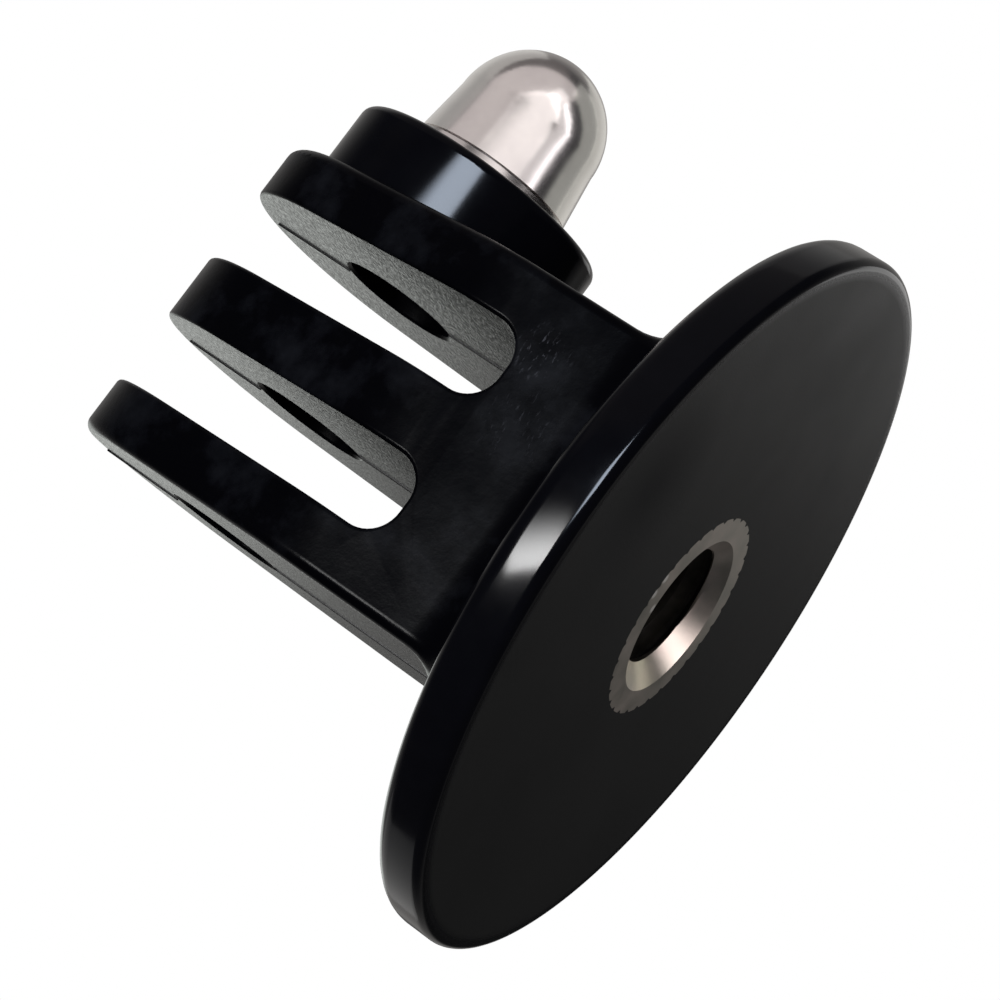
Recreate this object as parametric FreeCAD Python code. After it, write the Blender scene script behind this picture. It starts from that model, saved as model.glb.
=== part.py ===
"""Action camera tripod adapter, in millimetres.

The adapter stands on the underside of its disc. The origin is the mouth of the tripod thread, in the
middle of that underside. +Z runs up the neck to the prongs, the clamping bolt runs along X, and the
domed nut is at the +X end.
"""
import FreeCAD
import Part
import math
import os

# Disc
disc_radius = 16.0
disc_thickness = 2.3
rim_low_round = 0.4
rim_high_round = 0.8

# Neck and prongs, from the side: a round end, leaning flanks, then upright neck walls
bolt_height = 18.0
prong_end_radius = 7.35
flank_lean_deg = 19.0
flank_blend_radius = 9.0
neck_half_width = 10.1
cove_radius = 2.65
least_cove_radius = 0.4

# Prongs along the bolt: outer, slot, middle, slot, outer
middle_prong = 3.0
outer_prong = 2.5
slot_width = 3.3
prong_shift = -0.4
slot_corner_radius = 1.4
outer_edge_round = 0.5
slot_edge_round = 0.18

# Bolt hole and nut boss
bolt_hole_radius = 2.6
hole_edge_break = 0.12
boss_radius = 6.0
boss_height = 3.35
boss_edge_round = 0.45
boss_root_round = 0.25

# Domed nut: a hexagonal shank in the boss, a low flange on it, and a tapered barrel with a domed end
nut_across_flats = 6.8
nut_shank_length = 3.4
nut_flange_radius = 3.95
nut_flange_thickness = 0.55
nut_neck_radius = 3.5
nut_neck_length = 0.16
nut_barrel_low_radius = 3.7
nut_barrel_high_radius = 3.38
nut_barrel_length = 2.5
nut_dome_height = 3.5
nut_thread_radius = 2.1
nut_thread_into_dome = 1.0

# Threaded insert with the tripod thread, and the floor of the slots above it
insert_radius = 4.55
insert_length = 6.4
insert_thread_radius = 2.55
insert_mouth_radius = 3.5
insert_mouth_depth = 0.65
insert_ring_groove_depth = 0.45
insert_ring_groove_width = 1.2
floor_over_insert = 1.75
knurl_teeth = 32
knurl_depth = 0.15
knurl_gap = 0.35

# How near a point lies to a face or a line to count as on it
NEAR = 1e-3

# Most of a slot's width that one rounded floor corner takes
CORNER_SHARE = 0.45

# How far round a fillet's arc its middle lies inside the corner, as a share of the radius
ARC_DIP = 1 - math.sqrt(0.5)

V = FreeCAD.Vector
AXIS_X = V(1, 0, 0)
AXIS_Y = V(0, 1, 0)
AXIS_Z = V(0, 0, 1)

# Places that follow from the sizes
flank_lean = math.radians(flank_lean_deg)
neck_foot = disc_thickness / 2
disc_flat_top = disc_radius - rim_high_round
neck_most_reach = disc_flat_top - least_cove_radius
slot_floor_height = insert_length + floor_over_insert
slot_corner = min(slot_corner_radius, CORNER_SHARE * slot_width)
middle_low = prong_shift - middle_prong / 2
middle_high = prong_shift + middle_prong / 2
neck_low = middle_low - slot_width - outer_prong
neck_high = middle_high + slot_width + outer_prong
slot_starts = (middle_low - slot_width, middle_high)
boss_face = neck_high + boss_height
nut_seat = boss_face - nut_shank_length
nut_flange_top = boss_face + nut_flange_thickness
nut_barrel_foot = nut_flange_top + nut_neck_length
nut_shoulder = nut_barrel_foot + nut_barrel_length
nut_tip = nut_shoulder + nut_dome_height


def line(a, b):
    return Part.LineSegment(a, b).toShape()


def arc(a, middle, b):
    return Part.Arc(a, middle, b).toShape()


def edge_middle(edge):
    return edge.valueAt((edge.FirstParameter + edge.LastParameter) / 2)


def runs_along(edge, axis):
    """Whether an edge is parallel to an axis at its middle."""
    middle = (edge.FirstParameter + edge.LastParameter) / 2
    return abs(edge.tangentAt(middle).dot(axis)) > 1 - NEAR


def one_solid(shape):
    """The single solid of a finished piece, its split faces joined again."""
    return shape.removeSplitter().Solids[0]


def disc():
    """Round disc with a rounded rim."""
    low, high = rim_low_round, rim_high_round
    bottom_centre, top_centre = V(0, 0, 0), V(0, 0, disc_thickness)
    bottom_end, top_end = V(disc_radius - low, 0, 0), V(disc_radius - high, 0, disc_thickness)
    rim_low, rim_high = V(disc_radius, 0, low), V(disc_radius, 0, disc_thickness - high)
    low_middle = V(disc_radius - low * ARC_DIP, 0, low * ARC_DIP)
    high_middle = V(disc_radius - high * ARC_DIP, 0, disc_thickness - high * ARC_DIP)
    edges = [
        line(bottom_centre, bottom_end),
        arc(bottom_end, low_middle, rim_low),
        line(rim_low, rim_high),
        arc(rim_high, high_middle, top_end),
        line(top_end, top_centre),
        line(top_centre, bottom_centre),
    ]
    return Part.Face(Part.Wire(edges)).revolve(bottom_centre, AXIS_Z, 360)


def side_outline(x):
    """The neck and prongs seen along the bolt: upright walls, leaning flanks and a round end."""
    end_y = prong_end_radius * math.cos(flank_lean)
    end_z = bolt_height + prong_end_radius * math.sin(flank_lean)
    corner_z = end_z - (neck_half_width - end_y) / math.tan(flank_lean)
    wall_top = corner_z - flank_blend_radius * math.tan(flank_lean / 2)

    def blend(angle, side):
        y = neck_half_width - flank_blend_radius * (1 - math.cos(angle))
        return V(x, side * y, wall_top + flank_blend_radius * math.sin(angle))

    def half(side):
        return [
            V(x, side * neck_half_width, neck_foot),
            V(x, side * neck_half_width, wall_top),
            blend(flank_lean / 2, side),
            blend(flank_lean, side),
            V(x, side * end_y, end_z),
        ]

    right, left = half(1), half(-1)
    tip = V(x, 0, bolt_height + prong_end_radius)
    edges = [
        line(right[0], right[1]),
        arc(right[1], right[2], right[3]),
        line(right[3], right[4]),
        arc(right[4], tip, left[4]),
        line(left[4], left[3]),
        arc(left[3], left[2], left[1]),
        line(left[1], left[0]),
        line(left[0], right[0]),
    ]
    return Part.Face(Part.Wire(edges))


def slot(start):
    """The space of one slot, right through along Y, with rounded floor corners."""
    end = start + slot_width
    floor, roof = slot_floor_height, bolt_height + 2 * prong_end_radius
    side = -2 * neck_half_width
    radius, dip = slot_corner, slot_corner * ARC_DIP
    first_wall, first_floor = V(start, side, floor + radius), V(start + radius, side, floor)
    last_floor, last_wall = V(end - radius, side, floor), V(end, side, floor + radius)
    edges = [
        line(V(start, side, roof), first_wall),
        arc(first_wall, V(start + dip, side, floor + dip), first_floor),
        line(first_floor, last_floor),
        arc(last_floor, V(end - dip, side, floor + dip), last_wall),
        line(last_wall, V(end, side, roof)),
        line(V(end, side, roof), V(start, side, roof)),
    ]
    return Part.Face(Part.Wire(edges)).extrude(V(0, -2 * side, 0))


def slot_edges(shape):
    """The edges where the slots break out of the neck's and prongs' outside."""
    found = []
    for edge in shape.Edges:
        x = edge_middle(edge).x
        in_slot = any(start - NEAR < x < start + slot_width + NEAR for start in slot_starts)
        if in_slot and not runs_along(edge, AXIS_Y):
            found.append(edge)
    return found


def upright():
    """Neck and prongs: the side outline run along the bolt, edges rounded, slots cut.

    A neck whose corners would reach past the disc's flat top is trimmed to it.
    """
    block = side_outline(neck_low).extrude(V(neck_high - neck_low, 0, 0))
    outer = [
        edge for edge in block.Edges
        if not runs_along(edge, AXIS_X) and edge_middle(edge).z > neck_foot + NEAR
    ]
    shape = block.makeFillet(outer_edge_round, outer)
    shape = shape.common(Part.makeCylinder(neck_most_reach, bolt_height + 2 * prong_end_radius))
    for start in slot_starts:
        shape = shape.cut(slot(start))
    return shape.makeFillet(slot_edge_round, slot_edges(shape))


def with_cove(shape):
    """Rounds the inside corner where the neck meets the disc's top."""
    half_length = max(-neck_low, neck_high)
    corner_reach = outer_edge_round + math.hypot(
        half_length - outer_edge_round, neck_half_width - outer_edge_round
    )
    corner_reach = min(corner_reach, neck_most_reach)
    corner = []
    for edge in shape.Edges:
        middle = edge_middle(edge)
        on_top = abs(middle.z - disc_thickness) < NEAR
        if on_top and math.hypot(middle.x, middle.y) < disc_flat_top - NEAR:
            corner.append(edge)
    return shape.makeFillet(min(cove_radius, disc_flat_top - corner_reach - NEAR), corner)


def boss():
    """Round boss on the +X prong, with a rounded edge, sunk a little into the prong."""
    sunk = outer_prong / 2
    foot = V(neck_high - sunk, 0, bolt_height)
    cylinder = Part.makeCylinder(boss_radius, boss_height + sunk, foot, AXIS_X)
    rim = [edge for edge in cylinder.Edges if abs(edge_middle(edge).x - boss_face) < NEAR]
    return cylinder.makeFillet(boss_edge_round, rim)


def with_boss(shape):
    """Joins the boss to the prong and rounds its root."""
    joined = shape.fuse(boss()).removeSplitter()
    root = []
    for edge in joined.Edges:
        middle = edge_middle(edge)
        radius = math.hypot(middle.y, middle.z - bolt_height)
        if abs(middle.x - neck_high) < NEAR and abs(radius - boss_radius) < NEAR:
            root.append(edge)
    return joined.makeFillet(boss_root_round, root)


def nut_shank():
    """Hexagonal prism in the boss, with two corners up and down."""
    corner = nut_across_flats / math.sqrt(3)
    points = []
    for i in range(7):
        angle = math.radians(60 * i)
        points.append(V(nut_seat, corner * math.sin(angle), bolt_height + corner * math.cos(angle)))
    return Part.Face(Part.makePolygon(points)).extrude(V(nut_shank_length, 0, 0))


def hole_break(x, direction):
    """A small cone that breaks the bolt hole's edge on one prong face."""
    base = V(x, 0, bolt_height)
    radius = bolt_hole_radius + hole_edge_break
    return Part.makeCone(radius, bolt_hole_radius, hole_edge_break, base, V(direction, 0, 0))


def bolt_space():
    """Bolt hole through the prongs, its broken edges, and the hexagonal pocket in the boss."""
    hole = Part.makeCylinder(bolt_hole_radius, nut_seat - neck_low, V(neck_low, 0, bolt_height), AXIS_X)
    pieces = [nut_shank()]
    for x in (neck_low, middle_low, middle_high + slot_width):
        pieces.append(hole_break(x, 1))
    for x in (neck_low + outer_prong, middle_high):
        pieces.append(hole_break(x, -1))
    return hole.multiFuse(pieces)


def body():
    """The moulding: disc, neck, prongs and boss in one, with the insert's pocket."""
    shape = with_cove(disc().fuse(upright()).removeSplitter())
    shape = with_boss(shape).cut(bolt_space())
    pocket = Part.makeCylinder(insert_radius, insert_length, V(0, 0, 0), AXIS_Z)
    return one_solid(shape.cut(pocket))


def knurl_grooves():
    """V-shaped grooves round the insert. Each cutting wedge reaches half as far again as its groove."""
    wedge_reach = 1.5
    root = insert_radius - knurl_depth
    outside = root + wedge_reach * knurl_depth
    half = wedge_reach * knurl_gap / 2
    wedge = Part.Face(Part.makePolygon([
        V(root, 0, 0), V(outside, half, 0), V(outside, -half, 0), V(root, 0, 0),
    ])).extrude(V(0, 0, insert_length))
    grooves = []
    for i in range(knurl_teeth):
        copy = wedge.copy()
        copy.rotate(V(0, 0, 0), AXIS_Z, 360 * i / knurl_teeth)
        grooves.append(copy)
    return Part.makeCompound(grooves)


def threaded_insert():
    """Knurled sleeve with the tapped hole for the tripod screw and a ring groove that holds it."""
    wall, ring_radius = insert_thread_radius, insert_radius - insert_ring_groove_depth
    ring_low = (insert_length - insert_ring_groove_width) / 2
    ring_high = ring_low + insert_ring_groove_width
    points = [
        V(insert_mouth_radius, 0, 0), V(insert_radius, 0, 0),
        V(insert_radius, 0, ring_low), V(ring_radius, 0, ring_low),
        V(ring_radius, 0, ring_high), V(insert_radius, 0, ring_high),
        V(insert_radius, 0, insert_length), V(wall, 0, insert_length), V(wall, 0, insert_mouth_depth),
    ]
    section = Part.Face(Part.makePolygon(points + [points[0]]))
    return one_solid(section.revolve(V(0, 0, 0), AXIS_Z, 360).cut(knurl_grooves()))


def nut_outside():
    """Flange, neck, tapered barrel and elliptical dome, turned about the bolt axis."""
    def at(x, radius):
        return V(x, radius, bolt_height)

    side, tip = at(nut_shoulder, nut_barrel_high_radius), at(nut_tip, 0)
    rings = [
        at(boss_face, 0), at(boss_face, nut_flange_radius), at(nut_flange_top, nut_flange_radius),
        at(nut_flange_top, nut_neck_radius), at(nut_barrel_foot, nut_neck_radius),
        at(nut_barrel_foot, nut_barrel_low_radius), side,
    ]
    longer, shorter = (tip, side) if nut_dome_height > nut_barrel_high_radius else (side, tip)
    dome = Part.Ellipse(longer, shorter, at(nut_shoulder, 0))
    edges = [line(a, b) for a, b in zip(rings, rings[1:])]
    edges.append(Part.ArcOfEllipse(dome, 0, math.pi / 2).toShape())
    edges.append(line(tip, rings[0]))
    wire = Part.Wire(Part.sortEdges(edges)[0])
    return Part.Face(wire).revolve(at(0, 0), AXIS_X, 360)


def cap_nut():
    """Domed nut: hexagonal shank, turned outside and a blind tapped hole."""
    depth = nut_shoulder + nut_thread_into_dome - nut_seat
    hole = Part.makeCylinder(nut_thread_radius, depth, V(nut_seat, 0, bolt_height), AXIS_X)
    return one_solid(nut_shank().fuse(nut_outside()).cut(hole))


def main():
    os.makedirs("parts", exist_ok=True)
    pieces = {"body": body(), "threaded_insert": threaded_insert(), "cap_nut": cap_nut()}
    for name, shape in pieces.items():
        box = shape.optimalBoundingBox()
        print(name, "valid", shape.isValid(), "volume", round(shape.Volume, 1))
        print("  from", [round(low, 2) for low in (box.XMin, box.YMin, box.ZMin)],
              "to", [round(high, 2) for high in (box.XMax, box.YMax, box.ZMax)])
        shape.exportStep("parts/" + name + ".step")


main()
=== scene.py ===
"""Action camera tripod adapter: black moulding, knurled tripod insert and domed nut."""
import bpy
import bmesh
import math
from mathutils import Euler, Matrix, Vector


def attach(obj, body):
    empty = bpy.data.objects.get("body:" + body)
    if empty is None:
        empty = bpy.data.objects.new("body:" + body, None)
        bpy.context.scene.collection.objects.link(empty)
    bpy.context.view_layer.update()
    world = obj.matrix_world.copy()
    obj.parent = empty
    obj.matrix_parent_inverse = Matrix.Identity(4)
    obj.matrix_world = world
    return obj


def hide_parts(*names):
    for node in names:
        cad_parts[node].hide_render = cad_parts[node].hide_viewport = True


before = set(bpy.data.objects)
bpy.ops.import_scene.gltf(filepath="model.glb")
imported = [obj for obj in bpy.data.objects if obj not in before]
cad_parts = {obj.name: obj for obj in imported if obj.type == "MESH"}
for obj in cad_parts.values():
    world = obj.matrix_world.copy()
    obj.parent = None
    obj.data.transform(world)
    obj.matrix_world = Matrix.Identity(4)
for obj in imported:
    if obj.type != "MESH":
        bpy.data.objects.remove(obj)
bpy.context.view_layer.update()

MM = 0.001

# Camera, seen from below and to one side of the upright adapter
CAMERA_PLACE = Vector((-12.546, -106.080, -31.993)) * MM
CAMERA_TURN_DEG = (124.523, 50.712, 21.371)
CAMERA_LENS = 101.35
SENSOR_WIDTH = 36.0

# Adapter sizes that the pieces here follow, each slot face with the way it looks along X
DISC_RADIUS = 16.0 * MM
DISC_THICKNESS = 2.3 * MM
RIM_LOW_ROUND = 0.4 * MM
RIM_HIGH_ROUND = 0.8 * MM
COVE_TOP = 5.0 * MM
NECK_LOW_X = -7.7 * MM
SLOT_FACES_X = ((-5.2 * MM, 1), (-1.9 * MM, -1), (1.1 * MM, 1), (4.4 * MM, -1))
NECK_HIGH_X = 6.9 * MM
BOSS_START_X = NECK_HIGH_X + 0.05 * MM
SLOT_CORNER_TOP = 9.45 * MM
BOLT_HEIGHT = 18.0 * MM
BOLT_HOLE_RADIUS = 2.6 * MM
BOSS_RADIUS = 6.0 * MM
PRONG_TOP = 24.75 * MM

# Turned rim: steps around it and in each of its rounds, and how far the flats draw back to meet it
RIM_STEPS = 288
ROUND_STEPS = 8
UNDERSIDE_MARGIN = 0.1 * MM
TOP_MARGIN = 0.02 * MM

# The body's finishes in the order of its material slots, and the slot in the insert of the thread,
# which carries painted shade
POLISHED, MOULDED, SATIN, SPECKLED = range(4)
OILED_SHADED = 1

# Parting line left by the mould on the flat faces
SEAM_HEIGHT = 0.08 * MM
SEAM_WIDTH = 0.12 * MM
SEAM_ROUND_STEPS = 2

# Tripod thread, 1/4 inch with 20 turns to the inch, run out in the insert's mouth. It is made with
# spare turns below the mouth, which are cut off
INSERT_LENGTH = 6.4 * MM
MOUTH_RADIUS = 3.5 * MM
MOUTH_DEPTH = 0.65 * MM
THREAD_PITCH = 1.27 * MM
THREAD_CREST = 2.55 * MM
THREAD_ROOT = 3.175 * MM
THREAD_STEPS = 96
FLANK_STEPS = 4
SPARE_TURNS = 2

# Distances inside which corners are joined, a cut meets a corner and two heights are the same
SOLID_MERGE = 0.0005 * MM
THREAD_MERGE = 0.002 * MM
CUT_MERGE = 0.0001 * MM
SAME_PLACE = 0.001 * MM

# Gap between rings or faces that would otherwise fall together, and a margin on radii
JOIN_GAP = 0.003 * MM
ROUNDING = 0.01 * MM

# Edges under these angles are smooth, and a prong's flat face has this much of its normal along X
SOLID_SMOOTH_DEG = 30
THREAD_SMOOTH_DEG = 24
FLAT_FACE = 0.97

# Plastic that fills the knurl's grooves, and painted glints on the insert, bright spots in its
# colour, by radius and angle
FILL_INNER_RADIUS = 4.2 * MM
INSERT_RADIUS = 4.55 * MM
FILL_DEPTH = 0.4 * MM
FILL_STEPS = 128
GLINT_RADIUS = 0.24 * MM
GLINT_SPOTS = ((4.44 * MM, -85.3), (4.44 * MM, -94.7), (3.62 * MM, -102.0))

# Scuffs low on the neck's wall: place, strongest inside the first radius and gone at the second
SCUFF_BY_SLOT = Vector((4.0, -10.0, 7.3)) * MM
SCUFF_BY_SLOT_REACH = (0.2 * MM, 1.4 * MM)
SCUFF_BY_COVE = Vector((1.3, -10.1, 6.3)) * MM
SCUFF_BY_COVE_REACH = (0.3 * MM, 1.8 * MM)

# Darker, rougher patch on the underside beside the insert, and the radii over which the satin turns
# glossy
DARK_PATCH_PLACE = Vector((1.8, -12.0, 0)) * MM
DARK_PATCH_REACH = (0.5 * MM, 4.5 * MM)
SATIN_END = (15.15 * MM, 15.45 * MM)

# Floor, which turns from pale to white between two radii
FLOOR_RADIUS = 3.0
FLOOR_DROP = 0.05 * MM
FLOOR_STEPS = 96
FLOOR_COLOUR = (0.88, 0.88, 0.88, 1)
FLOOR_TURNS_WHITE = (0.03, 0.11)

# Middle of the adapter, which the lamps point at from one distance
MIDDLE = Vector((0.5, 0, 12.5)) * MM
LAMP_DISTANCE = 0.6


# Camera

def make_camera():
    """The camera at the photograph's viewing angle."""
    data = bpy.data.cameras.new("camera")
    data.lens = CAMERA_LENS
    data.sensor_width = SENSOR_WIDTH
    data.clip_start = 0.005
    data.clip_end = 20
    camera = bpy.data.objects.new("camera", data)
    camera.location = CAMERA_PLACE
    camera.rotation_euler = [math.radians(a) for a in CAMERA_TURN_DEG]
    bpy.context.scene.collection.objects.link(camera)
    bpy.context.scene.camera = camera


def camera_axes():
    """The camera's right, up and backward directions."""
    turn = Euler([math.radians(a) for a in CAMERA_TURN_DEG]).to_matrix()
    return turn.col[0].copy(), turn.col[1].copy(), turn.col[2].copy()


def facing(across_deg, up_deg):
    """The direction at these angles to the right of and above the way back to the camera."""
    right, up, back = camera_axes()
    across, above = math.radians(across_deg), math.radians(up_deg)
    return (right * math.sin(across) * math.cos(above) + up * math.sin(above)
            + back * math.cos(across) * math.cos(above))


# Nodes of their owner: a material, a lamp or the world

def new_material(name):
    """A material with one Principled shader, and that shader."""
    material = bpy.data.materials.new(name)
    material.use_nodes = True
    material.node_tree.nodes.clear()
    output = node(material, "ShaderNodeOutputMaterial")
    shader = node(material, "ShaderNodeBsdfPrincipled")
    link(material, shader.outputs["BSDF"], output.inputs["Surface"])
    return material, shader


def node(owner, kind, **settings):
    """A new node with its settings, which are not its sockets."""
    made = owner.node_tree.nodes.new(kind)
    for key, value in settings.items():
        setattr(made, key, value)
    return made


def link(owner, source, target):
    owner.node_tree.links.new(source, target)


def object_coordinates(owner, scale=(1, 1, 1), turn=(0, 0, 0)):
    """Object coordinates through a Mapping node, in metres times scale."""
    texture = node(owner, "ShaderNodeTexCoord")
    mapping = node(owner, "ShaderNodeMapping")
    mapping.inputs["Scale"].default_value = scale
    mapping.inputs["Rotation"].default_value = turn
    link(owner, texture.outputs["Object"], mapping.inputs["Vector"])
    return mapping.outputs["Vector"]


def noise(owner, vector, scale, detail=4.0, roughness=0.6):
    made = node(owner, "ShaderNodeTexNoise")
    made.inputs["Scale"].default_value = scale
    made.inputs["Detail"].default_value = detail
    made.inputs["Roughness"].default_value = roughness
    link(owner, vector, made.inputs["Vector"])
    return made.outputs["Fac"]


def ramp(owner, value, low, high, start, end, interpolation="LINEAR"):
    """Maps value from low..high to start..end, held at both ends."""
    made = node(owner, "ShaderNodeMapRange", clamp=True, interpolation_type=interpolation)
    made.inputs["From Min"].default_value = low
    made.inputs["From Max"].default_value = high
    made.inputs["To Min"].default_value = start
    made.inputs["To Max"].default_value = end
    link(owner, value, made.inputs["Value"])
    return made.outputs["Result"]


def colours(owner, factor, first, last):
    """From one colour to another as the factor rises, each a plain colour or a node's output."""
    made = node(owner, "ShaderNodeMix", data_type="RGBA")
    for colour, socket in ((first, made.inputs["A"]), (last, made.inputs["B"])):
        if isinstance(colour, tuple):
            socket.default_value = (*colour, 1)
        else:
            link(owner, colour, socket)
    link(owner, factor, made.inputs["Factor"])
    return made.outputs["Result"]


def product(owner, first, second):
    made = node(owner, "ShaderNodeMath", operation="MULTIPLY")
    link(owner, first, made.inputs[0])
    link(owner, second, made.inputs[1])
    return made.outputs["Value"]


def plus(owner, first, second):
    """The sum, no more than 1."""
    made = node(owner, "ShaderNodeMath", operation="ADD", use_clamp=True)
    link(owner, first, made.inputs[0])
    link(owner, second, made.inputs[1])
    return made.outputs["Value"]


def towards(owner, factor, first, last):
    """From a node's value to a plain number as the factor rises."""
    made = node(owner, "ShaderNodeMix", data_type="FLOAT")
    link(owner, factor, made.inputs["Factor"])
    link(owner, first, made.inputs["A"])
    made.inputs["B"].default_value = last
    return made.outputs["Result"]


def distance_from(owner, vector, point):
    made = node(owner, "ShaderNodeVectorMath", operation="DISTANCE")
    link(owner, vector, made.inputs[0])
    made.inputs[1].default_value = point
    return made.outputs["Value"]


def length_of(owner, vector):
    made = node(owner, "ShaderNodeVectorMath", operation="LENGTH")
    link(owner, vector, made.inputs[0])
    return made.outputs["Value"]


def bump(owner, height, strength, distance, normal=None):
    made = node(owner, "ShaderNodeBump")
    made.inputs["Strength"].default_value = strength
    made.inputs["Distance"].default_value = distance
    link(owner, height, made.inputs["Height"])
    if normal is not None:
        link(owner, normal, made.inputs["Normal"])
    return made.outputs["Normal"]


# Finishes

def polished_black():
    """Glossy moulded black on the rim and the boss."""
    material, shader = new_material("polished black")
    vector = object_coordinates(material)
    wave = noise(material, vector, 90, detail=2)
    fine = noise(material, vector, 2500, detail=3)
    shade = noise(material, vector, 400)
    link(material, colours(material, shade, (0.0005, 0.0005, 0.0008), (0.0012, 0.0012, 0.0018)),
         shader.inputs["Base Color"])
    link(material, ramp(material, shade, 0.3, 0.7, 0.1, 0.15), shader.inputs["Roughness"])
    normal = bump(material, wave, 0.15, 0.0003)
    link(material, bump(material, fine, 0.04, 0.00001, normal), shader.inputs["Normal"])
    shader.inputs["Specular IOR Level"].default_value = 0.2
    return material


def moulded_black():
    """Black of the neck and prong walls, mottled, with faint scuffs."""
    material, shader = new_material("moulded black")
    vector = object_coordinates(material)
    patches = noise(material, vector, 260, detail=5)
    grain = noise(material, vector, 5000, detail=2)
    scuffed = object_coordinates(material, scale=(2500, 2500, 9000), turn=(0.5, 0.6, 0.3))
    scuffs = ramp(material, noise(material, scuffed, 1.0, detail=3), 0.6, 0.7, 0, 1)
    from_slot = distance_from(material, vector, SCUFF_BY_SLOT)
    from_cove = distance_from(material, vector, SCUFF_BY_COVE)
    near_slot = ramp(material, from_slot, *SCUFF_BY_SLOT_REACH, 1, 0)
    near_cove = ramp(material, from_cove, *SCUFF_BY_COVE_REACH, 0.4, 0)
    rubbed = product(material, scuffs, plus(material, near_slot, near_cove))
    mottle = ramp(material, patches, 0.5, 0.72, 0, 1)
    base = colours(material, mottle, (0.0003, 0.0003, 0.0006), (0.0032, 0.0034, 0.0044))
    link(material, colours(material, rubbed, base, (0.03, 0.03, 0.034)),
         shader.inputs["Base Color"])
    link(material, ramp(material, patches, 0.35, 0.7, 0.2, 0.32), shader.inputs["Roughness"])
    normal = bump(material, grain, 0.2, 0.00002)
    link(material, bump(material, patches, 0.1, 0.0001, normal), shader.inputs["Normal"])
    shader.inputs["Specular IOR Level"].default_value = 0.07
    return material


def speckled_black():
    """The flat faces of the prongs, with the fine speckle of the spark-eroded mould."""
    material, shader = new_material("speckled black")
    vector = object_coordinates(material)
    stretched = object_coordinates(material, scale=(9500, 2400, 9500))
    speckle = noise(material, stretched, 1.0, detail=2, roughness=0.7)
    fleck = ramp(material, speckle, 0.38, 0.64, 0, 1)
    cloud = ramp(material, noise(material, vector, 500, detail=3), 0.35, 0.7, 0, 1)
    link(material, colours(material, fleck, (0.003, 0.0035, 0.003), (0.018, 0.0205, 0.018)),
         shader.inputs["Base Color"])
    link(material, ramp(material, fleck, 0, 1, 0.36, 0.2), shader.inputs["Roughness"])
    normal = bump(material, speckle, 0.6, 0.00003)
    link(material, bump(material, cloud, 0.05, 0.00002, normal), shader.inputs["Normal"])
    shader.inputs["Specular IOR Level"].default_value = 0.3
    return material


def satin_black():
    """Underside of the disc: fine satin inside a glossy margin."""
    material, shader = new_material("satin black")
    vector = object_coordinates(material)
    margin = ramp(material, length_of(material, vector), *SATIN_END, 0, 1)
    cloud = noise(material, vector, 130, detail=3)
    grain = noise(material, vector, 9000, detail=2)
    # A darker, rougher patch in the satin beside the insert
    from_dark_patch = distance_from(material, vector, DARK_PATCH_PLACE)
    outside_dark_patch = ramp(material, from_dark_patch, *DARK_PATCH_REACH, 0.1, 1)
    mottle = ramp(material, cloud, 0.3, 0.7, 0, 1)
    shade = colours(material, mottle, (0.006, 0.006, 0.006), (0.0085, 0.0085, 0.0083))
    shade = colours(material, outside_dark_patch, (0.003, 0.003, 0.0035), shade)
    link(material, colours(material, margin, shade, (0.0015, 0.0015, 0.002)),
         shader.inputs["Base Color"])
    satin = colours(material, mottle, (0.36, 0.36, 0.36), (0.44, 0.44, 0.44))
    satin = colours(material, outside_dark_patch, (0.6, 0.6, 0.6), satin)
    link(material, towards(material, margin, satin, 0.25), shader.inputs["Roughness"])
    link(material, bump(material, grain, 0.2, 0.00002), shader.inputs["Normal"])
    shader.inputs["Specular IOR Level"].default_value = 0.15
    return material


def nickel():
    """Nickel plate of the domed nut, dulled a little by handling."""
    material, shader = new_material("nickel plate")
    vector = object_coordinates(material)
    cloud = noise(material, vector, 450, detail=4)
    streak = noise(material, object_coordinates(material, scale=(3000, 400, 400)), 1.0, detail=3)
    dulled = ramp(material, cloud, 0.3, 0.75, 0, 1)
    link(material, colours(material, dulled, (0.74, 0.7, 0.68), (0.66, 0.62, 0.61)),
         shader.inputs["Base Color"])
    link(material, ramp(material, cloud, 0.3, 0.7, 0.17, 0.23), shader.inputs["Roughness"])
    normal = bump(material, cloud, 0.025, 0.0001)
    link(material, bump(material, streak, 0.04, 0.00002, normal), shader.inputs["Normal"])
    shader.inputs["Metallic"].default_value = 1.0
    return material


def turned_metal():
    """Face and mouth of the tripod insert, dulled, pinkish where the plating is thin, with painted
    glints.
    """
    material, shader = new_material("turned metal")
    vector = object_coordinates(material)
    cloud = noise(material, vector, 500, detail=4)
    thin = ramp(material, cloud, 0.35, 0.65, 0, 1)
    metal = colours(material, thin, (0.4, 0.38, 0.33), (0.54, 0.48, 0.43))
    # Painted glints: near-white spots in the insert's colour at three places on its edge
    for radius, angle in GLINT_SPOTS:
        turn = math.radians(angle)
        place = (radius * math.cos(turn), radius * math.sin(turn), 0)
        from_glint = distance_from(material, vector, place)
        glint = ramp(material, from_glint, GLINT_RADIUS, GLINT_RADIUS / 2, 0, 1)
        metal = colours(material, glint, metal, (1.0, 0.97, 0.93))
    link(material, metal, shader.inputs["Base Color"])
    link(material, ramp(material, cloud, 0.3, 0.7, 0.28, 0.38), shader.inputs["Roughness"])
    link(material, bump(material, cloud, 0.1, 0.00006), shader.inputs["Normal"])
    shader.inputs["Metallic"].default_value = 1.0
    return material


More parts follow.
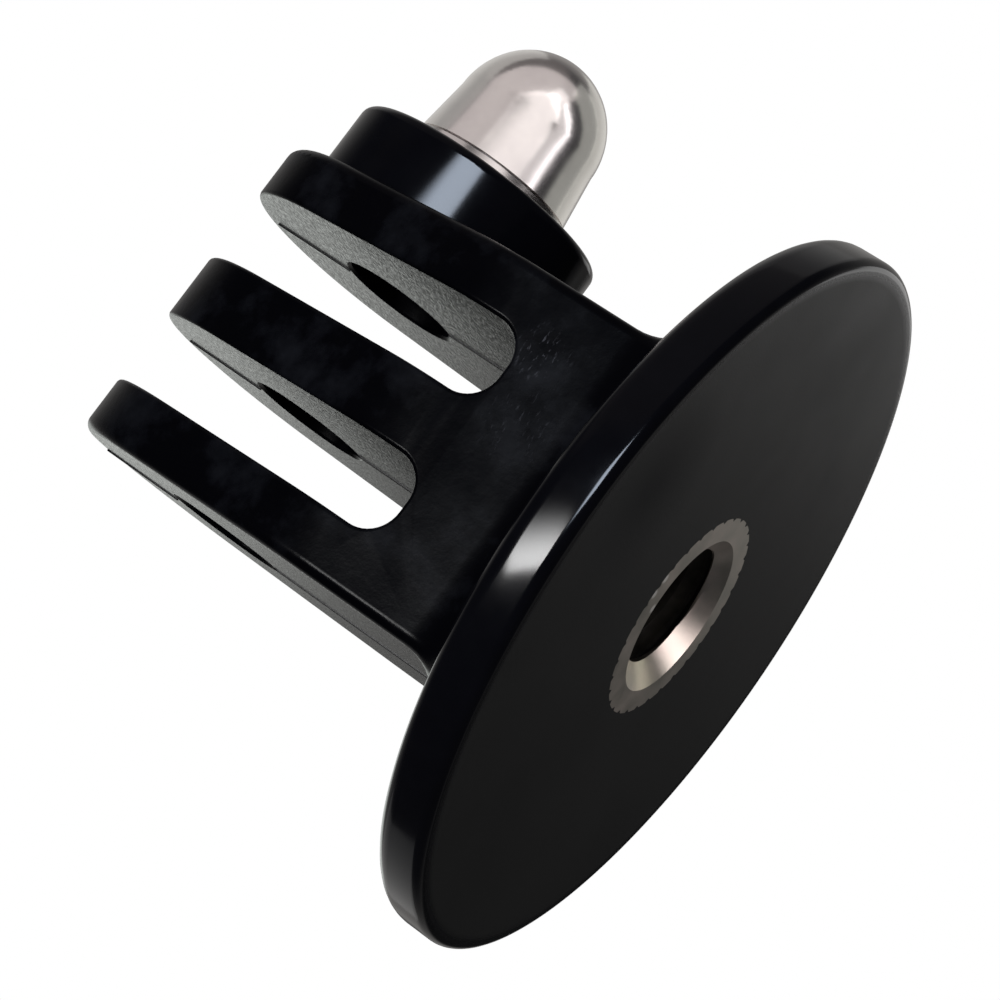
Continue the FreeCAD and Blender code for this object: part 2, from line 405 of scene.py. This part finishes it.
def oiled_shaded_thread():
    """The thread, darkened by oil and dust, and painted near black for the shade inside the bore.
    """
    material, shader = new_material("oiled shaded thread")
    vector = object_coordinates(material)
    cloud = noise(material, vector, 800, detail=4)
    dusty = ramp(material, cloud, 0.35, 0.65, 0, 1)
    # Near-black colour: oil and dust, and painted shade for the inside of the bore
    link(material, colours(material, dusty, (0.004, 0.0035, 0.003), (0.014, 0.012, 0.01)),
         shader.inputs["Base Color"])
    link(material, ramp(material, cloud, 0.3, 0.7, 0.4, 0.5), shader.inputs["Roughness"])
    link(material, bump(material, cloud, 0.1, 0.00005), shader.inputs["Normal"])
    shader.inputs["Specular IOR Level"].default_value = 0.15
    return material


# Pieces

def piece_from(name, shape, materials):
    """A finished piece from a bmesh, riding on the one body."""
    mesh = bpy.data.meshes.new(name)
    shape.to_mesh(mesh)
    shape.free()
    for material in materials:
        mesh.materials.append(material)
    piece = bpy.data.objects.new(name, mesh)
    bpy.context.scene.collection.objects.link(piece)
    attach(piece, "root")
    return piece


def merged_copy(cad_node):
    """The node's mesh with its loose triangles joined at their corners."""
    shape = bmesh.new()
    shape.from_mesh(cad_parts[cad_node].data)
    bmesh.ops.remove_doubles(shape, verts=shape.verts, dist=SOLID_MERGE)
    return shape


def smooth_by_angle(shape, degrees):
    """Smooth faces, with edges over an angle kept sharp."""
    limit = math.radians(degrees)
    for face in shape.faces:
        face.smooth = True
    for edge in shape.edges:
        edge.smooth = len(edge.link_faces) == 2 and edge.calc_face_angle(math.pi) < limit


def from_axis(vert):
    """A corner's distance from the tripod thread's axis."""
    return math.hypot(vert.co.x, vert.co.y)


def open_ring(shape, height):
    """The corners of open edges at a height."""
    return {vert for edge in shape.edges if len(edge.link_faces) == 1 for vert in edge.verts
            if abs(vert.co.z - height) < SAME_PLACE}


def close_ring(shape, first, second):
    """Triangles between two rings of corners about the thread's axis, in step by angle."""
    full_turn = 2 * math.pi
    rings = []
    for ring in (first, second):
        turns = [(math.atan2(vert.co.y, vert.co.x) % full_turn, vert) for vert in ring]
        turns.sort(key=lambda pair: pair[0])
        rings.append(turns + [(turns[0][0] + full_turn, turns[0][1])])
    here, there = rings
    i = j = 0
    while i < len(here) - 1 or j < len(there) - 1:
        if j == len(there) - 1 or (i < len(here) - 1 and here[i + 1][0] <= there[j + 1][0]):
            shape.faces.new((here[i][1], here[i + 1][1], there[j][1]))
            i += 1
        else:
            shape.faces.new((here[i][1], there[j + 1][1], there[j][1]))
            j += 1


def turned_rim(shape):
    """The disc's rim turned afresh, finer than the solid's facets, and joined to its two flats."""
    flats = (0, DISC_THICKNESS)
    round_start = DISC_RADIUS - RIM_HIGH_ROUND - TOP_MARGIN
    old = []
    for face in shape.faces:
        outside = all(from_axis(vert) > round_start and vert.co.z < DISC_THICKNESS + SAME_PLACE
                      for vert in face.verts)
        on_flat = any(all(abs(vert.co.z - flat) < SAME_PLACE for vert in face.verts)
                      for flat in flats)
        if outside and not on_flat:
            old.append(face)
    bmesh.ops.delete(shape, geom=old, context="FACES")
    loops = []
    for flat, margin in zip(flats, (UNDERSIDE_MARGIN, TOP_MARGIN)):
        loop = open_ring(shape, flat)
        for vert in loop:
            vert.co.xy *= 1 - margin / from_axis(vert)
        loops.append(loop)
    turns = [math.radians(90 * i / ROUND_STEPS) for i in range(ROUND_STEPS + 1)]
    profile = [(DISC_RADIUS - RIM_LOW_ROUND * (1 - math.sin(turn)),
                RIM_LOW_ROUND * (1 - math.cos(turn))) for turn in turns]
    profile += [(DISC_RADIUS - RIM_HIGH_ROUND * (1 - math.cos(turn)),
                 DISC_THICKNESS - RIM_HIGH_ROUND * (1 - math.sin(turn))) for turn in turns]
    verts = [shape.verts.new((radius, 0, height)) for radius, height in profile]
    edges = [shape.edges.new(pair) for pair in zip(verts, verts[1:])]
    bmesh.ops.spin(shape, geom=verts + edges, cent=(0, 0, 0), axis=(0, 0, 1), angle=2 * math.pi,
                   steps=RIM_STEPS, use_merge=True)
    for flat, loop in zip(flats, loops):
        close_ring(shape, loop, open_ring(shape, flat) - loop)
    bmesh.ops.recalc_face_normals(shape, faces=shape.faces)


def seam_ridge(shape, face_x, outward, low, high):
    """A length of the parting line, half sunk in the face that it runs along."""
    size = Matrix.Diagonal((2 * SEAM_HEIGHT, SEAM_WIDTH, high - low, 1))
    made = bmesh.ops.create_cube(shape, size=1.0,
                                 matrix=Matrix.Translation((face_x, 0, (low + high) / 2)) @ size)
    edges = {edge for vert in made["verts"] for edge in vert.link_edges}
    top = [edge for edge in edges if all((vert.co.x - face_x) * outward > 0 for vert in edge.verts)]
    bevelled = bmesh.ops.bevel(shape, geom=top, offset=SEAM_HEIGHT / 3, offset_type="OFFSET",
                               segments=SEAM_ROUND_STEPS, profile=0.5, affect="EDGES", material=-1)
    for face in bevelled["faces"]:
        face.smooth = True


def seam_ridges(shape):
    """The parting line on each flat face, left out where the bolt hole and the boss are."""
    hole_low, hole_high = BOLT_HEIGHT - BOLT_HOLE_RADIUS, BOLT_HEIGHT + BOLT_HOLE_RADIUS
    for face_x, outward in SLOT_FACES_X:
        seam_ridge(shape, face_x, outward, SLOT_CORNER_TOP, hole_low - SEAM_WIDTH)
        seam_ridge(shape, face_x, outward, hole_high + SEAM_WIDTH, PRONG_TOP)
    seam_ridge(shape, NECK_LOW_X, -1, COVE_TOP, hole_low - SEAM_WIDTH)
    seam_ridge(shape, NECK_LOW_X, -1, hole_high + SEAM_WIDTH, PRONG_TOP)
    seam_ridge(shape, NECK_HIGH_X, 1, COVE_TOP, BOLT_HEIGHT - BOSS_RADIUS - SEAM_WIDTH)


def knurl_fill(shape):
    """Plastic that has run into the insert's knurl, level with the underside."""
    corners = [(FILL_INNER_RADIUS, JOIN_GAP), (INSERT_RADIUS, JOIN_GAP),
               (INSERT_RADIUS, FILL_DEPTH), (FILL_INNER_RADIUS, FILL_DEPTH)]
    verts = [shape.verts.new((radius, 0, height)) for radius, height in corners]
    edges = [shape.edges.new((verts[i - 1], verts[i])) for i in range(len(verts))]
    bmesh.ops.spin(shape, geom=verts + edges, cent=(0, 0, 0), axis=(0, 0, 1), angle=2 * math.pi,
                   steps=FILL_STEPS, use_merge=True)
    ring = {face for edge in edges for face in edge.link_faces}
    queue = list(ring)
    while queue:
        for edge in queue.pop().edges:
            for face in edge.link_faces:
                if face not in ring:
                    ring.add(face)
                    queue.append(face)
    bmesh.ops.recalc_face_normals(shape, faces=list(ring))
    for face in ring:
        face.material_index = SATIN


def adapter_body(polished, moulded, satin, speckled):
    """The moulding, its faces sorted by finish."""
    shape = merged_copy("body")
    turned_rim(shape)
    smooth_by_angle(shape, SOLID_SMOOTH_DEG)
    for face in shape.faces:
        centre = face.calc_center_median()
        if centre.z < SAME_PLACE:
            face.material_index = SATIN
        elif centre.z < DISC_THICKNESS + SAME_PLACE or centre.x > BOSS_START_X:
            face.material_index = POLISHED
        elif abs(face.normal.x) > FLAT_FACE and centre.z > COVE_TOP:
            face.material_index = SPECKLED
        else:
            face.material_index = MOULDED
    seam_ridges(shape)
    knurl_fill(shape)
    piece = piece_from("adapter_body", shape, [polished, moulded, satin, speckled])
    weighted = piece.modifiers.new("even shading", "WEIGHTED_NORMAL")
    weighted.keep_sharp = True
    weighted.weight = 100
    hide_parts("body")
    return piece


def domed_nut(metal):
    """The turned outside of the nut, its hexagonal shank and blind hole."""
    shape = merged_copy("cap_nut")
    smooth_by_angle(shape, SOLID_SMOOTH_DEG)
    piece = piece_from("domed_nut", shape, [metal])
    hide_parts("cap_nut")
    return piece


def cut_across(shape, height, **clear):
    """Cuts every face at a height, and clears one side of the cut if asked to."""
    everything = shape.verts[:] + shape.edges[:] + shape.faces[:]
    bmesh.ops.bisect_plane(shape, geom=everything, dist=CUT_MERGE, plane_co=(0, 0, height),
                           plane_no=(0, 0, 1), **clear)


def thread_tube():
    """The insert's thread as one open tube, wider at the mouth and drawn in at the far end."""
    shape = bmesh.new()
    crest, root = THREAD_PITCH / 4, THREAD_PITCH / 8
    flank = (THREAD_PITCH - crest - root) / 2
    groove = THREAD_ROOT - THREAD_CREST
    turn = [(THREAD_CREST, 0), (THREAD_CREST, crest / 2)]
    for i in range(FLANK_STEPS + 1):
        part = i / FLANK_STEPS
        turn.append((THREAD_CREST + groove * part, crest + flank * part))
    for i in range(FLANK_STEPS):
        part = 1 - i / FLANK_STEPS
        turn.append((THREAD_CREST + groove * part, crest + flank + root + flank * (1 - part)))
    turns = math.ceil(INSERT_LENGTH / THREAD_PITCH) + SPARE_TURNS
    chain = [shape.verts.new((radius, 0, height + (i - SPARE_TURNS) * THREAD_PITCH))
             for i in range(turns + 1) for radius, height in turn]
    edges = [shape.edges.new(pair) for pair in zip(chain, chain[1:])]
    bmesh.ops.spin(shape, geom=chain + edges, cent=(0, 0, 0), axis=(0, 0, 1), angle=2 * math.pi,
                   dvec=(0, 0, THREAD_PITCH / THREAD_STEPS), steps=THREAD_STEPS, use_merge=False)
    bmesh.ops.remove_doubles(shape, verts=shape.verts, dist=THREAD_MERGE)
    cut_across(shape, 0, clear_inner=True)
    cut_across(shape, INSERT_LENGTH, clear_outer=True)
    cut_across(shape, MOUTH_DEPTH)
    cone = (MOUTH_RADIUS - THREAD_CREST) / MOUTH_DEPTH
    for vert in shape.verts:
        radius = from_axis(vert)
        wanted = max(radius, MOUTH_RADIUS - JOIN_GAP - cone * vert.co.z)
        wanted = min(wanted, THREAD_CREST - JOIN_GAP + INSERT_LENGTH - vert.co.z)
        vert.co.x *= wanted / radius
        vert.co.y *= wanted / radius
    return shape


def tripod_insert(metal, oiled_shaded):
    """The knurled insert with its thread cut as a real helix."""
    shape = merged_copy("threaded_insert")
    inside = [face for face in shape.faces
              if all(from_axis(vert) < MOUTH_RADIUS + ROUNDING for vert in face.verts)]
    bmesh.ops.delete(shape, geom=inside, context="FACES")
    tube = thread_tube()
    spare = bpy.data.meshes.new("thread")
    tube.to_mesh(spare)
    tube.free()
    shape.from_mesh(spare)
    bpy.data.meshes.remove(spare)
    for height, radius in ((0, MOUTH_RADIUS), (INSERT_LENGTH, THREAD_CREST)):
        rims = open_ring(shape, height)
        of_tube = {vert for vert in rims if from_axis(vert) < radius - JOIN_GAP / 2}
        close_ring(shape, rims - of_tube, of_tube)
    bmesh.ops.recalc_face_normals(shape, faces=shape.faces)
    smooth_by_angle(shape, THREAD_SMOOTH_DEG)
    for face in shape.faces:
        centre = face.calc_center_median()
        if centre.z > MOUTH_DEPTH and math.hypot(centre.x, centre.y) < THREAD_ROOT + ROUNDING:
            face.material_index = OILED_SHADED
    piece = piece_from("tripod_insert", shape, [metal, oiled_shaded])
    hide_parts("threaded_insert")
    return piece


# Stage and light

def pale_floor():
    """Pale floor just under the disc, clear from below, that turns to plain white further out."""
    shape = bmesh.new()
    bmesh.ops.create_circle(shape, cap_ends=True, segments=FLOOR_STEPS, radius=FLOOR_RADIUS)
    bmesh.ops.translate(shape, verts=shape.verts, vec=(0, 0, -FLOOR_DROP))
    mesh = bpy.data.meshes.new("floor")
    shape.to_mesh(mesh)
    shape.free()
    floor = bpy.data.objects.new("floor", mesh)
    bpy.context.scene.collection.objects.link(floor)
    material = bpy.data.materials.new("pale floor")
    material.use_nodes = True
    material.node_tree.nodes.clear()
    pale = node(material, "ShaderNodeBsdfDiffuse")
    pale.inputs["Color"].default_value = FLOOR_COLOUR
    white = node(material, "ShaderNodeEmission")
    clear = node(material, "ShaderNodeBsdfTransparent")
    from_above = node(material, "ShaderNodeMixShader")
    place = node(material, "ShaderNodeTexCoord")
    away = length_of(material, place.outputs["Object"])
    link(material, ramp(material, away, *FLOOR_TURNS_WHITE, 0, 1), from_above.inputs["Fac"])
    link(material, pale.outputs["BSDF"], from_above.inputs[1])
    link(material, white.outputs["Emission"], from_above.inputs[2])
    either_side = node(material, "ShaderNodeMixShader")
    geometry = node(material, "ShaderNodeNewGeometry")
    link(material, geometry.outputs["Backfacing"], either_side.inputs["Fac"])
    link(material, from_above.outputs["Shader"], either_side.inputs[1])
    link(material, clear.outputs["BSDF"], either_side.inputs[2])
    output = node(material, "ShaderNodeOutputMaterial")
    link(material, either_side.outputs["Shader"], output.inputs["Surface"])
    mesh.materials.append(material)
    floor.visible_shadow = False
    floor.visible_glossy = False
    floor.visible_diffuse = False


def fade_lamp(data, axis, full, gone):
    """Fades a lamp along its width (axis 0) or height (axis 1), between two parts of it."""
    data.use_nodes = True
    shine = next(item for item in data.node_tree.nodes if item.type == "EMISSION")
    place = node(data, "ShaderNodeNewGeometry")
    parts = node(data, "ShaderNodeSeparateXYZ")
    link(data, place.outputs["Parametric"], parts.inputs[0])
    strength = ramp(data, parts.outputs[axis], full, gone, 1, 0, "SMOOTHSTEP")
    link(data, product(data, strength, strength), shine.inputs["Strength"])


def soft_lamp(name, across_deg, up_deg, width_deg, height_deg, radiance, colour, pieces, fade=None):
    """A rectangular lamp, turned to the middle, that lights only the given pieces."""
    up = camera_axes()[1]
    toward = facing(across_deg, up_deg)
    data = bpy.data.lights.new(name, "AREA")
    data.shape = "RECTANGLE"
    data.size = 2 * LAMP_DISTANCE * math.tan(math.radians(width_deg / 2))
    data.size_y = 2 * LAMP_DISTANCE * math.tan(math.radians(height_deg / 2))
    data.energy = radiance * math.pi * data.size * data.size_y
    data.color = colour
    lamp = bpy.data.objects.new(name, data)
    side = up.cross(toward).normalized()
    turn = Matrix((side, toward.cross(side), toward)).transposed().to_4x4()
    lamp.matrix_world = Matrix.Translation(MIDDLE + toward * LAMP_DISTANCE) @ turn
    bpy.context.scene.collection.objects.link(lamp)
    if fade:
        fade_lamp(data, *fade)
    lit = bpy.data.collections.new(name)
    for piece in pieces:
        lit.objects.link(piece)
    lamp.light_linking.receiver_collection = lit


def studio():
    """White for the camera, even light for colour, and a dark room with soft fields for gloss."""
    up, back = camera_axes()[1:]
    world = bpy.data.worlds.new("studio")
    bpy.context.scene.world = world
    world.use_nodes = True
    world.node_tree.nodes.clear()
    place = node(world, "ShaderNodeTexCoord")
    rays = node(world, "ShaderNodeLightPath")
    # Each field of the room: its middle, the cosines where it begins and is full, and its colour
    fields = (
        (-back, 0.3, 0.95, (0.34, 0.33, 0.32)),
        (up, 0.7, 0.82, (0.14, 0.13, 0.13)),
        (facing(154, -30), 0.93, 0.978, (0.02, 0.02, 0.02)),
        (facing(-180, -9), 0.972, 0.993, (0.08, 0.08, 0.08)),
        (facing(-158, -6), 0.971, 0.993, (1.2, 1.25, 1.2)),
    )
    room = (0.03, 0.03, 0.033)
    for toward, begins, full, colour in fields:
        dot = node(world, "ShaderNodeVectorMath", operation="DOT_PRODUCT")
        dot.inputs[1].default_value = toward
        link(world, place.outputs["Generated"], dot.inputs[0])
        inside = ramp(world, dot.outputs["Value"], begins, full, 0, 1, "SMOOTHSTEP")
        room = colours(world, inside, room, colour)
    plain = colours(world, rays.outputs["Is Glossy Ray"], (0.75, 0.75, 0.75), room)
    seen = colours(world, rays.outputs["Is Camera Ray"], plain, (1.0, 1.0, 1.0))
    shade = node(world, "ShaderNodeBackground")
    link(world, seen, shade.inputs["Color"])
    output = node(world, "ShaderNodeOutputWorld")
    link(world, shade.outputs["Background"], output.inputs["Surface"])


def lights(body, nut, insert):
    """Each lamp's direction and size in degrees, its strength, colour, pieces and fade."""
    white = (1.0, 1.0, 1.0)
    warm = (1.0, 0.96, 0.95)
    greenish = (0.97, 1.0, 0.93)
    soft_lamp("bright window", -36.5, 18.5, 18, 19, 42, white, [body], (1, 0.15, 1.12))
    soft_lamp("blue window", -6.5, 24, 26, 20, 27, (0.74, 0.84, 1.0), [body], (0, 0.45, -0.1))
    soft_lamp("back fill", 171, 46, 60, 30, 0.12, white, [body])
    soft_lamp("low fill", -140, -34, 36, 30, 0.3, white, [body])
    soft_lamp("low backdrop", 139, -5, 20, 16, 0.9, white, [body])
    soft_lamp("front panel", 11, 29, 70, 44, 1.25, warm, [nut], (0, 0.55, -0.12))
    soft_lamp("front panel low", 17, 29, 54, 44, 1.0, warm, [insert])
    soft_lamp("side panel", 55, 20, 24, 58, 0.75, (1.0, 0.96, 0.96), [nut, insert])
    soft_lamp("side strip", 61, 8, 6, 44, 2.0, (1.0, 0.97, 1.0), [nut])
    soft_lamp("far panel", 103, 8, 36, 66, 0.34, greenish, [nut])
    soft_lamp("ceiling", 5, 72, 110, 50, 0.55, (1.0, 0.94, 0.93), [nut])
    soft_lamp("backdrop right", 138, 0, 40, 60, 0.45, greenish, [nut])
    soft_lamp("backdrop left", -150, 38, 60, 60, 0.35, (0.98, 1.0, 0.96), [nut])
    soft_lamp("low lamp", 81, -17, 18, 24, 4.8, (1.0, 0.92, 0.94), [insert])
    soft_lamp("ring lamp", 146, -13, 28, 12, 0.2, (1.0, 1.0, 0.97), [insert])
    soft_lamp("olive lamp", 122, -1, 18, 18, 0.85, (1.0, 1.0, 0.82), [insert])


make_camera()
studio()
pale_floor()

BODY = adapter_body(polished_black(), moulded_black(), satin_black(), speckled_black())
NUT = domed_nut(nickel())
INSERT = tripod_insert(turned_metal(), oiled_shaded_thread())
lights(BODY, NUT, INSERT)

bpy.context.scene.view_settings.view_transform = "Standard"
